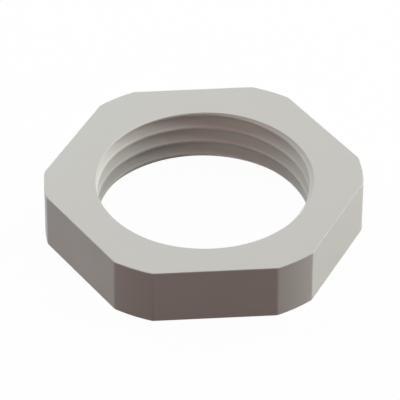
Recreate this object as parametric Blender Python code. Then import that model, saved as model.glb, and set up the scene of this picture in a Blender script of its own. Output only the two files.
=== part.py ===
"""Locknut for a cable gland with an M20 x 1.5 thread.

One moulded piece of polyamide: a thin hexagon whose corners are turned off to a circle, with
rounded rims and a right-hand internal thread from face to face. The nut lies on its underside
at Z = 0, with the thread's axis on +Z. Two of its flats face -Y and +Y, so two of its corners
point along X.
"""

import math

import bmesh
import bpy
from mathutils import Matrix

# Thread, in metres
THREAD_DIAMETER = 0.020     # across the roots, the largest diameter of the thread
PITCH = 0.0015
THREAD_DEPTH = 0.40 * PITCH     # from root to crest, along a radius
CREST_WIDTH = 0.225 * PITCH     # flat land on each crest, along the axis
LOWER_FLANK = math.radians(30)      # tilt of the flank below a crest, out of a plane square to the axis
UPPER_FLANK = math.radians(45)      # tilt of the flank above a crest, as the photograph shows it
THREAD_EXIT = math.radians(164)     # direction, from +X, in which a crest runs out at the top face

# Hexagon, in metres. The thread and the wall round it make the nut 26 mm across its flats.
THICKNESS = 0.0053
WALL = 0.003                # from the thread's roots to a flat
CORNER_CUT = 0.00094        # how far each sharp corner is turned back towards the axis
EDGE_ROUND = 0.0002         # radius on the upright edges
RIM_ROUND = 0.0003          # radius round the top face and the underside

# Mouths of the bore, in metres
MOUTH_ROUND = 0.00015       # radius over which the crests turn into the top face
MOUTH_EASE = math.radians(10)       # the round stops this much short of the face and of the crests
LEAD_IN = 0.0006            # 45 degree chamfer at the underside, as deep as it is wide

# Fineness of the round shapes
CORNER_STEPS = 6
EDGE_STEPS = 2
RIM_STEPS = 4
MOUTH_STEPS = 3
THREAD_STEPS = 96

# Polyamide, light grey
NUT_COLOUR = (0.570, 0.570, 0.535, 1.0)
NUT_ROUGHNESS = 0.5

SIDES = 6
SHARP_ANGLE = math.radians(15)      # a bend of more than this is a real edge, not a facet's
RIM_ANGLE = math.radians(60)        # a bend of more than this lies between a side and a face

half_side = math.pi / SIDES
root_radius = THREAD_DIAMETER / 2
crest_radius = root_radius - THREAD_DEPTH
half_flats = root_radius + WALL


def clear_scene():
    for thing in list(bpy.data.objects):
        bpy.data.objects.remove(thing)


def make_material():
    """Moulded polyamide, coloured right through, with a faint satin."""
    material = bpy.data.materials.new("grey_polyamide")
    material.use_nodes = True
    surface = material.node_tree.nodes["Principled BSDF"]
    surface.inputs["Base Color"].default_value = NUT_COLOUR
    surface.inputs["Roughness"].default_value = NUT_ROUGHNESS
    surface.inputs["Metallic"].default_value = 0.0
    return material


def make_object(name, bm):
    """Turns a finished bmesh into an object at the origin."""
    bmesh.ops.recalc_face_normals(bm, faces=bm.faces)
    mesh = bpy.data.meshes.new(name)
    bm.to_mesh(mesh)
    bm.free()
    thing = bpy.data.objects.new(name, mesh)
    bpy.context.scene.collection.objects.link(thing)
    return thing


def corner_arc(middle):
    """Points along the turned corner whose middle lies in that direction."""
    radius = half_flats / math.cos(half_side) - CORNER_CUT
    half_arc = half_side - math.acos(half_flats / radius)
    points = []
    for step in range(CORNER_STEPS + 1):
        angle = middle + half_arc * (2 * step / CORNER_STEPS - 1)
        points.append((radius * math.cos(angle), radius * math.sin(angle), 0))
    return points


def round_edges(bm, least, most, radius, steps):
    """Rounds every edge that bends by an angle between the least and the most."""
    edges = [edge for edge in bm.edges if least < edge.calc_face_angle() < most]
    bmesh.ops.bevel(
        bm, geom=edges, offset=radius, offset_type="OFFSET", affect="EDGES",
        segments=steps, profile=0.5, material=-1,
    )


def make_blank():
    """The nut before it is bored: its outline pulled up to its thickness, its edges rounded."""
    bm = bmesh.new()
    outline = [point for corner in range(SIDES) for point in corner_arc(2 * half_side * corner)]
    underside = bm.faces.new([bm.verts.new(point) for point in outline])
    pulled = bmesh.ops.extrude_face_region(bm, geom=[underside], use_keep_orig=True)
    top = [item for item in pulled["geom"] if isinstance(item, bmesh.types.BMVert)]
    bmesh.ops.translate(bm, verts=top, vec=(0, 0, THICKNESS))
    bmesh.ops.recalc_face_normals(bm, faces=bm.faces)
    round_edges(bm, SHARP_ANGLE, RIM_ANGLE, EDGE_ROUND, EDGE_STEPS)
    round_edges(bm, RIM_ANGLE, math.pi, RIM_ROUND, RIM_STEPS)
    return make_object("locknut", bm)


def sweep(bm, profile, rise):
    """Sweeps a section, given as (radius, height) points, once round the thread's axis while it
    climbs by rise. Each sweep starts where a crest runs out, so that all facets line up."""
    verts = [bm.verts.new((radius, 0, height)) for radius, height in profile]
    edges = [bm.edges.new(pair) for pair in zip(verts, verts[1:])]
    bmesh.ops.rotate(bm, verts=verts, matrix=Matrix.Rotation(THREAD_EXIT, 3, "Z"))
    bmesh.ops.spin(
        bm, geom=verts + edges, axis=(0, 0, 1), cent=(0, 0, 0),
        dvec=(0, 0, rise / THREAD_STEPS), angle=2 * math.pi, steps=THREAD_STEPS,
    )
    bmesh.ops.remove_doubles(bm, verts=bm.verts, dist=PITCH / 1000)


def make_cutter(name, bm):
    """A tool that only cuts: it is never rendered and shows as wire."""
    cutter = make_object(name, bm)
    cutter.hide_render = True
    cutter.display_type = "WIRE"
    return cutter


def close_end(bm, below):
    """Draws the open rim at one end of the tap in to a point on its axis."""
    middle = THICKNESS / 2
    rim = [edge for edge in bm.edges if edge.is_boundary and (edge.verts[0].co.z < middle) == below]
    height = sum(edge.verts[0].co.z for edge in rim) / len(rim)
    drawn = bmesh.ops.extrude_edge_only(bm, edges=rim)
    tips = [item for item in drawn["geom"] if isinstance(item, bmesh.types.BMVert)]
    bmesh.ops.pointmerge(bm, verts=tips, merge_co=(0, 0, height))


def make_tap():
    """The threaded core that leaves the internal thread. Its section has a groove for each crest
    of the nut, and as it climbs one pitch in its one turn, the grooves join into a helix."""
    one_pitch = [
        (crest_radius, 0),
        (crest_radius, CREST_WIDTH),
        (root_radius, CREST_WIDTH + THREAD_DEPTH * math.tan(UPPER_FLANK)),
        (root_radius, PITCH - THREAD_DEPTH * math.tan(LOWER_FLANK)),
    ]
    pitches_below = math.ceil(THICKNESS / PITCH) + 2
    profile = []
    for pitch in range(-pitches_below, 2):
        for radius, height in one_pitch:
            profile.append((radius, THICKNESS + pitch * PITCH + height))
    bm = bmesh.new()
    sweep(bm, profile, rise=PITCH)
    close_end(bm, below=True)
    close_end(bm, below=False)
    return make_cutter("tap", bm)


def make_mouth():
    """Rounds the crests into the top face. Straight runs at either end of the round carry it on,
    past the face and past the crests."""
    run = MOUTH_ROUND / 2
    arc = []
    for step in range(MOUTH_STEPS + 1):
        lean = MOUTH_EASE + (math.pi / 2 - 2 * MOUTH_EASE) * step / MOUTH_STEPS
        radius = crest_radius + MOUTH_ROUND * (1 - math.sin(lean))
        arc.append((radius, THICKNESS - MOUTH_ROUND * (1 - math.cos(lean))))
    outside = (arc[0][0] + run * math.cos(MOUTH_EASE), arc[0][1] + run * math.sin(MOUTH_EASE))
    inside = (arc[-1][0] - run * math.sin(MOUTH_EASE), arc[-1][1] - run * math.cos(MOUTH_EASE))
    above = THICKNESS + MOUTH_ROUND
    profile = [(0, above), (outside[0], above), outside, *arc, inside, (0, inside[1])]
    bm = bmesh.new()
    sweep(bm, profile, rise=0)
    return make_cutter("mouth", bm)


def make_lead_in():
    """A cone that opens the thread at the underside, so that a gland finds its start."""
    profile = [
        (0, -LEAD_IN),
        (crest_radius + 2 * LEAD_IN, -LEAD_IN),
        (crest_radius - LEAD_IN, 2 * LEAD_IN),
        (0, 2 * LEAD_IN),
    ]
    bm = bmesh.new()
    sweep(bm, profile, rise=0)
    return make_cutter("lead_in", bm)


def cut(nut, cutter):
    modifier = nut.modifiers.new(cutter.name, "BOOLEAN")
    modifier.operation = "DIFFERENCE"
    modifier.solver = "EXACT"
    modifier.object = cutter


def finish(nut):
    """Applies the cuts and shades the nut: smooth over facets, sharp at every real edge."""
    cut_nut = nut.evaluated_get(bpy.context.evaluated_depsgraph_get())
    mesh = bpy.data.meshes.new_from_object(cut_nut)
    nut.modifiers.clear()
    nut.data = mesh
    mesh.shade_smooth()
    mesh.set_sharp_from_angle(angle=SHARP_ANGLE)


clear_scene()
nut = make_blank()
nut.data.materials.append(make_material())
cut(nut, make_tap())
cut(nut, make_mouth())
cut(nut, make_lead_in())
finish(nut)
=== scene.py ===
"""Looks of the cable gland locknut: one moulded piece of light grey polyamide on a white table."""
import math

import bmesh
import bpy
from mathutils import Matrix, Vector


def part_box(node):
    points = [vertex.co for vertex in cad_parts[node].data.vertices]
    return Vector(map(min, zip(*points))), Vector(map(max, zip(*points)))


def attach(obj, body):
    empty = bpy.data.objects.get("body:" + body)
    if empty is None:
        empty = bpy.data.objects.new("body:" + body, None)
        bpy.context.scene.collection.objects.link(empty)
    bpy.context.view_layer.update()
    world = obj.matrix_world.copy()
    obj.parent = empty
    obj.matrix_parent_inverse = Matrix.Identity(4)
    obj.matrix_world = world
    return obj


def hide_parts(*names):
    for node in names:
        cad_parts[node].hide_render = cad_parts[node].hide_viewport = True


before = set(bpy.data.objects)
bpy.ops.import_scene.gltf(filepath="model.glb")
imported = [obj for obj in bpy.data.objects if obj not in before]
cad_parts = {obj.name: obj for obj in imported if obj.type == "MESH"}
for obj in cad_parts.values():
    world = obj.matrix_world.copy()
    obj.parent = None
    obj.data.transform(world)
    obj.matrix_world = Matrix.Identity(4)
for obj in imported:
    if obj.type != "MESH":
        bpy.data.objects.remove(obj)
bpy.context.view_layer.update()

# The nut's blank. A flat hexagon of polyamide, moulded in one shot, whose corners follow a turned
# circle. The mould rounds the rims a little, and the upright edges more. Its size is the frame's own.
low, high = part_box("locknut")
underside, top_face = low.z, high.z
half_flats = high.y
corner_radius = high.x
SIDES = 6
DISC_STEPS = 180
EDGE_ROUND = 0.00014
EDGE_STEPS = 4
RIM_ROUND = 0.00007
RIM_STEPS = 4
REAL_EDGE = math.radians(15)
RIM_BEND = math.radians(60)

blank = bmesh.new()
bmesh.ops.create_circle(blank, cap_ends=True, segments=DISC_STEPS, radius=corner_radius)
for side in range(SIDES):
    facing = Matrix.Rotation(math.pi / SIDES * (2 * side + 1), 3, "Z") @ Vector((1, 0, 0))
    bmesh.ops.bisect_plane(
        blank, geom=blank.verts[:] + blank.edges[:] + blank.faces[:],
        plane_co=facing * half_flats, plane_no=facing, clear_outer=True,
    )
bmesh.ops.translate(blank, verts=blank.verts, vec=(0, 0, underside))
pulled = bmesh.ops.extrude_face_region(blank, geom=blank.faces[:], use_keep_orig=True)
bmesh.ops.translate(
    blank, verts=[item for item in pulled["geom"] if isinstance(item, bmesh.types.BMVert)],
    vec=(0, 0, top_face - underside),
)
bmesh.ops.recalc_face_normals(blank, faces=blank.faces)
uprights = [
    edge for edge in blank.edges
    if edge.calc_face_angle() > REAL_EDGE and edge.verts[0].co.z != edge.verts[1].co.z
]
bmesh.ops.bevel(
    blank, geom=uprights, offset=EDGE_ROUND, offset_type="OFFSET", affect="EDGES",
    segments=EDGE_STEPS, profile=0.5, material=-1,
)
rims = [edge for edge in blank.edges if edge.calc_face_angle() > RIM_BEND]
bmesh.ops.bevel(
    blank, geom=rims, offset=RIM_ROUND, offset_type="OFFSET", affect="EDGES",
    segments=RIM_STEPS, profile=0.5, material=-1,
)


def mesh_object(name, bm):
    """Turns a finished bmesh into an object at the origin, with its faces pointing outwards."""
    bmesh.ops.recalc_face_normals(bm, faces=bm.faces)
    mesh = bpy.data.meshes.new(name)
    bm.to_mesh(mesh)
    bm.free()
    thing = bpy.data.objects.new(name, mesh)
    bpy.context.scene.collection.objects.link(thing)
    return thing


nut = mesh_object("moulded_locknut", blank)

# The internal thread. A right-hand M20 x 1.5 thread that the mould's threaded core leaves behind
# when it is screwed out. Its crests are narrow flats, the flank above a crest leans more than the
# one below it, and no corner is quite sharp.
ROOT_RADIUS = 0.00995
THREAD_DEPTH = 0.00058
PITCH = 0.0015
CREST_WIDTH = 0.00016
LOWER_FLANK = math.radians(33)
UPPER_FLANK = math.radians(53)
THREAD_EXIT = math.radians(152)
THREAD_STEPS = 240
THREAD_ROUND = 0.00003
THREAD_ROUND_STEPS = 4

crest_radius = ROOT_RADIUS - THREAD_DEPTH


def sweep(bm, points, rise):
    """Sweeps a section of (radius, height) points once round the axis while it climbs by rise. A
    section that climbs is the thread's, and its corners are rounded first."""
    verts = [bm.verts.new((radius, 0, height)) for radius, height in points]
    for pair in zip(verts, verts[1:]):
        bm.edges.new(pair)
    if rise:
        bmesh.ops.bevel(
            bm, geom=verts[1:-1], offset=THREAD_ROUND, offset_type="OFFSET", affect="VERTICES",
            segments=THREAD_ROUND_STEPS, profile=0.5, material=-1,
        )
    bmesh.ops.rotate(bm, verts=bm.verts, matrix=Matrix.Rotation(THREAD_EXIT, 3, "Z"))
    bmesh.ops.spin(
        bm, geom=bm.verts[:] + bm.edges[:], axis=(0, 0, 1), cent=(0, 0, 0),
        dvec=(0, 0, rise / THREAD_STEPS), angle=2 * math.pi, steps=THREAD_STEPS, use_merge=not rise,
    )
    bmesh.ops.remove_doubles(bm, verts=bm.verts, dist=PITCH / 1000)


core = bmesh.new()
section = []
for turn in range(-math.ceil((top_face - underside) / PITCH) - 2, 2):
    start = top_face + turn * PITCH
    section += [
        (crest_radius, start),
        (crest_radius, start + CREST_WIDTH),
        (ROOT_RADIUS, start + CREST_WIDTH + THREAD_DEPTH * math.tan(UPPER_FLANK)),
        (ROOT_RADIUS, start + PITCH - THREAD_DEPTH * math.tan(LOWER_FLANK)),
    ]
sweep(core, section, rise=PITCH)
for is_end in (lambda z: z < underside, lambda z: z > top_face):
    rim = [edge for edge in core.edges if edge.is_boundary and is_end(edge.verts[0].co.z)]
    height = sum(edge.verts[0].co.z for edge in rim) / len(rim)
    drawn = bmesh.ops.extrude_edge_only(core, edges=rim)
    tips = [item for item in drawn["geom"] if isinstance(item, bmesh.types.BMVert)]
    bmesh.ops.pointmerge(core, verts=tips, merge_co=(0, 0, height))

# The mouths of the bore. At the top face the crests roll over in a small round; at the underside
# a 45 degree chamfer lets the gland find the start of the thread.
MOUTH_ROUND = 0.00004
MOUTH_STEPS = 6
MOUTH_EASE = math.radians(4)
LEAD_IN = 0.0006
SHARP_EDGE = math.radians(24)

roll = []
for step in range(MOUTH_STEPS + 1):
    lean = MOUTH_EASE + (math.pi / 2 - 2 * MOUTH_EASE) * step / MOUTH_STEPS
    roll.append((
        crest_radius + MOUTH_ROUND * (1 - math.sin(lean)),
        top_face - MOUTH_ROUND * (1 - math.cos(lean)),
    ))
run = MOUTH_ROUND / 2
outside = (roll[0][0] + run * math.cos(MOUTH_EASE), roll[0][1] + run * math.sin(MOUTH_EASE))
inside = (roll[-1][0] - run * math.sin(MOUTH_EASE), roll[-1][1] - run * math.cos(MOUTH_EASE))
above = top_face + MOUTH_ROUND
mouth = bmesh.new()
sweep(mouth, [(0, above), (outside[0], above), outside, *roll, inside, (0, inside[1])], rise=0)
chamfer = bmesh.new()
cone = [
    (0, underside - LEAD_IN),
    (crest_radius + 2 * LEAD_IN, underside - LEAD_IN),
    (crest_radius - LEAD_IN, underside + 2 * LEAD_IN),
    (0, underside + 2 * LEAD_IN),
]
sweep(chamfer, cone, rise=0)

cutters = [mesh_object("core", core), mesh_object("mouth", mouth), mesh_object("chamfer", chamfer)]
for cutter in cutters:
    cut = nut.modifiers.new(cutter.name, "BOOLEAN")
    cut.operation = "DIFFERENCE"
    cut.solver = "EXACT"
    cut.object = cutter
moulded = bpy.data.meshes.new_from_object(nut.evaluated_get(bpy.context.evaluated_depsgraph_get()))
nut.modifiers.clear()
nut.data = moulded
for cutter in cutters:
    bpy.data.objects.remove(cutter)
moulded.shade_smooth()
moulded.set_sharp_from_angle(angle=SHARP_EDGE)
normals = nut.modifiers.new("normals", "WEIGHTED_NORMAL")
normals.keep_sharp = True

# The polyamide. Light grey right through, with the satin skin of the mould: a fine grain, faint
# flow clouding and small changes of gloss. The thread's crests are painted paler near the bore's
# inner edge: a painted highlight that stands in for the light that comes through such thin crests.
GREY = (0.566, 0.573, 0.548)
GREY_DARKER = (0.544, 0.550, 0.524)
# Painted highlight: the crests' paler colour stands in for light, and is not the polyamide's own.
CREST_PAINTED_HIGHLIGHT = (0.690, 0.685, 0.645)
PAINTED_HIGHLIGHT_FROM = crest_radius + 0.00016
PAINTED_HIGHLIGHT_TO = crest_radius + 0.00002
POLYAMIDE_IOR = 1.53
CLOUD_SCALE = 260
CLOUD_DETAIL = 3
ROUGHNESS_LEAST = 0.42
ROUGHNESS_MOST = 0.56
GRAIN_SCALE = 9000
GRAIN_DETAIL = 2
GRAIN_STRENGTH = 0.35
GRAIN_HEIGHT = 0.000004

polyamide = bpy.data.materials.new("grey_polyamide")
polyamide.use_nodes = True
tree = polyamide.node_tree
surface = tree.nodes["Principled BSDF"]
surface.inputs["IOR"].default_value = POLYAMIDE_IOR
surface.inputs["Metallic"].default_value = 0.0
place = tree.nodes.new("ShaderNodeTexCoord")
cloud = tree.nodes.new("ShaderNodeTexNoise")
cloud.inputs["Scale"].default_value = CLOUD_SCALE
cloud.inputs["Detail"].default_value = CLOUD_DETAIL
grain = tree.nodes.new("ShaderNodeTexNoise")
grain.inputs["Scale"].default_value = GRAIN_SCALE
grain.inputs["Detail"].default_value = GRAIN_DETAIL
tint = tree.nodes.new("ShaderNodeMix")
tint.data_type = "RGBA"
tint.inputs["A"].default_value = (*GREY, 1)
tint.inputs["B"].default_value = (*GREY_DARKER, 1)
flat = tree.nodes.new("ShaderNodeVectorMath")
flat.operation = "MULTIPLY"
flat.inputs[1].default_value = (1, 1, 0)
from_axis = tree.nodes.new("ShaderNodeVectorMath")
from_axis.operation = "LENGTH"
# Painted highlight mask: full at the crests, gone 0.16 mm out from them towards the root.
painted_highlight_mask = tree.nodes.new("ShaderNodeMapRange")
painted_highlight_mask.inputs["From Min"].default_value = PAINTED_HIGHLIGHT_FROM
painted_highlight_mask.inputs["From Max"].default_value = PAINTED_HIGHLIGHT_TO
# Mixes the painted highlight colour into the grey at the crests.
painted_highlight_mix = tree.nodes.new("ShaderNodeMix")
painted_highlight_mix.data_type = "RGBA"
painted_highlight_mix.inputs["B"].default_value = (*CREST_PAINTED_HIGHLIGHT, 1)
gloss = tree.nodes.new("ShaderNodeMapRange")
gloss.inputs["To Min"].default_value = ROUGHNESS_LEAST
gloss.inputs["To Max"].default_value = ROUGHNESS_MOST
skin = tree.nodes.new("ShaderNodeBump")
skin.inputs["Strength"].default_value = GRAIN_STRENGTH
skin.inputs["Distance"].default_value = GRAIN_HEIGHT
tree.links.new(place.outputs["Object"], cloud.inputs["Vector"])
tree.links.new(place.outputs["Object"], grain.inputs["Vector"])
tree.links.new(cloud.outputs["Fac"], tint.inputs["Factor"])
tree.links.new(place.outputs["Object"], flat.inputs[0])
tree.links.new(flat.outputs["Vector"], from_axis.inputs[0])
tree.links.new(from_axis.outputs["Value"], painted_highlight_mask.inputs["Value"])
tree.links.new(painted_highlight_mask.outputs["Result"], painted_highlight_mix.inputs["Factor"])
tree.links.new(tint.outputs["Result"], painted_highlight_mix.inputs["A"])
tree.links.new(painted_highlight_mix.outputs["Result"], surface.inputs["Base Color"])
tree.links.new(cloud.outputs["Fac"], gloss.inputs["Value"])
tree.links.new(gloss.outputs["Result"], surface.inputs["Roughness"])
tree.links.new(grain.outputs["Fac"], skin.inputs["Height"])
tree.links.new(skin.outputs["Normal"], surface.inputs["Normal"])
nut.data.materials.clear()
nut.data.materials.append(polyamide)
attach(nut, "root")
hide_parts("locknut")

# The table. A plain white sheet that runs on under the whole view. The camera sees it as white
# paper that keeps the nut's own soft shadow; little of its light comes back up to the nut's sides.
TABLE_HALF = 1.5
TABLE_GAP = 0.00002
SHADOW_SHARE = 0.03
PAPER = (0.9, 0.9, 0.9)
BOUNCE = (0.05, 0.05, 0.05)


def split_rays(tree, lit, seen, output):
    """Camera, glossy and transmission rays meet the seen shader, and all others the lit one."""
    rays = tree.nodes.new("ShaderNodeLightPath")
    camera_or_glossy = tree.nodes.new("ShaderNodeMath")
    camera_or_glossy.operation = "MAXIMUM"
    any_seen = tree.nodes.new("ShaderNodeMath")
    any_seen.operation = "MAXIMUM"
    choice = tree.nodes.new("ShaderNodeMixShader")
    tree.links.new(rays.outputs["Is Camera Ray"], camera_or_glossy.inputs[0])
    tree.links.new(rays.outputs["Is Glossy Ray"], camera_or_glossy.inputs[1])
    tree.links.new(camera_or_glossy.outputs["Value"], any_seen.inputs[0])
    tree.links.new(rays.outputs["Is Transmission Ray"], any_seen.inputs[1])
    tree.links.new(any_seen.outputs["Value"], choice.inputs["Fac"])
    tree.links.new(lit, choice.inputs[1])
    tree.links.new(seen, choice.inputs[2])
    tree.links.new(choice.outputs["Shader"], output.inputs["Surface"])


sheet = bmesh.new()
bmesh.ops.create_grid(sheet, x_segments=1, y_segments=1, size=TABLE_HALF)
bmesh.ops.translate(sheet, verts=sheet.verts, vec=(0, 0, underside - TABLE_GAP))
table = mesh_object("table", sheet)
paper = bpy.data.materials.new("paper")
paper.use_nodes = True
tree = paper.node_tree
tree.nodes.remove(tree.nodes["Principled BSDF"])
bounce = tree.nodes.new("ShaderNodeBsdfDiffuse")
bounce.inputs["Color"].default_value = (*BOUNCE, 1)
shaded = tree.nodes.new("ShaderNodeBsdfDiffuse")
shaded.inputs["Color"].default_value = (*PAPER, 1)
white = tree.nodes.new("ShaderNodeEmission")
white_and_shadow = tree.nodes.new("ShaderNodeMixShader")
white_and_shadow.inputs["Fac"].default_value = SHADOW_SHARE
tree.links.new(white.outputs["Emission"], white_and_shadow.inputs[1])
tree.links.new(shaded.outputs["BSDF"], white_and_shadow.inputs[2])
split_rays(
    tree, lit=bounce.outputs["BSDF"], seen=white_and_shadow.outputs["Shader"],
    output=tree.nodes["Material Output"],
)
table.data.materials.append(paper)

# The light. Softboxes stand behind the nut and to its right, with one above and a weak one at its
# left. The two named right and left are a little warm, the others cool. The room is dim and warm,
# so the sides that face away from the softboxes are in warm shade.
LIGHT_DISTANCE = 0.6
ROOM = (0.150, 0.046, 0.040)


def softbox(name, azimuth, elevation, size, level, colour):
    """A square area light. Azimuth is from +X towards +Y, and level is how bright it makes white
    paper that faces it, 1 being white."""
    lamp = bpy.data.lights.new(name, "AREA")
    lamp.size = size
    lamp.energy = level * math.pi ** 2 * LIGHT_DISTANCE ** 2
    lamp.color = colour
    box = bpy.data.objects.new(name, lamp)
    turn, rise = math.radians(azimuth), math.radians(elevation)
    away = Vector((math.cos(turn) * math.cos(rise), math.sin(turn) * math.cos(rise), math.sin(rise)))
    box.location = away * LIGHT_DISTANCE
    box.rotation_euler = away.to_track_quat("Z", "Y").to_euler()
    bpy.context.scene.collection.objects.link(box)


softbox("right", azimuth=0, elevation=12, size=0.30, level=0.485, colour=(1, 0.962, 0.875))
softbox("right behind", azimuth=36, elevation=12, size=0.30, level=0.80, colour=(0.94, 1, 0.97))
softbox("behind", azimuth=108, elevation=12, size=0.30, level=0.50, colour=(0.85, 0.98, 1))
softbox("left behind", azimuth=144, elevation=35, size=0.35, level=0.479, colour=(0.86, 0.99, 1))
softbox("left", azimuth=216, elevation=35, size=0.35, level=0.122, colour=(1, 0.885, 0.80))
softbox("right above", azimuth=0, elevation=55, size=0.35, level=0.28, colour=(0.85, 0.99, 1))

world = bpy.data.worlds.new("room")
world.use_nodes = True
tree = world.node_tree
room = tree.nodes["Background"]
room.inputs["Color"].default_value = (*ROOM, 1)
backdrop = tree.nodes.new("ShaderNodeBackground")
backdrop.inputs["Color"].default_value = (1, 1, 1, 1)
split_rays(
    tree, lit=room.outputs["Background"], seen=backdrop.outputs["Background"],
    output=tree.nodes["World Output"],
)
bpy.context.scene.world = world

# The camera. A long lens that looks down on the nut from the front, as in the photograph. Its aim
# lies a little to the left of the middle of the top face, and below it.
CAMERA_AZIMUTH = math.radians(-4.525)
CAMERA_ELEVATION = math.radians(38.482)
CAMERA_ROLL = math.radians(0.294)
CAMERA_DISTANCE = 0.31114
AIM_LEFT = 0.000333
AIM_BELOW = 0.002007
LENS = 317.87
SENSOR_WIDTH = 36

turned = (
    Matrix.Rotation(CAMERA_AZIMUTH, 3, "Z")
    @ Matrix.Rotation(math.pi / 2 - CAMERA_ELEVATION, 3, "X")
    @ Matrix.Rotation(CAMERA_ROLL, 3, "Z")
)
camera = bpy.data.objects.new("camera", bpy.data.cameras.new("camera"))
camera.data.lens = LENS
camera.data.sensor_width = SENSOR_WIDTH
camera.matrix_world = Matrix.Translation(
    Vector((0, 0, top_face)) + turned @ Vector((-AIM_LEFT, -AIM_BELOW, CAMERA_DISTANCE))
) @ turned.to_4x4()
bpy.context.scene.collection.objects.link(camera)
bpy.context.scene.camera = camera
bpy.context.scene.view_settings.view_transform = "Standard"
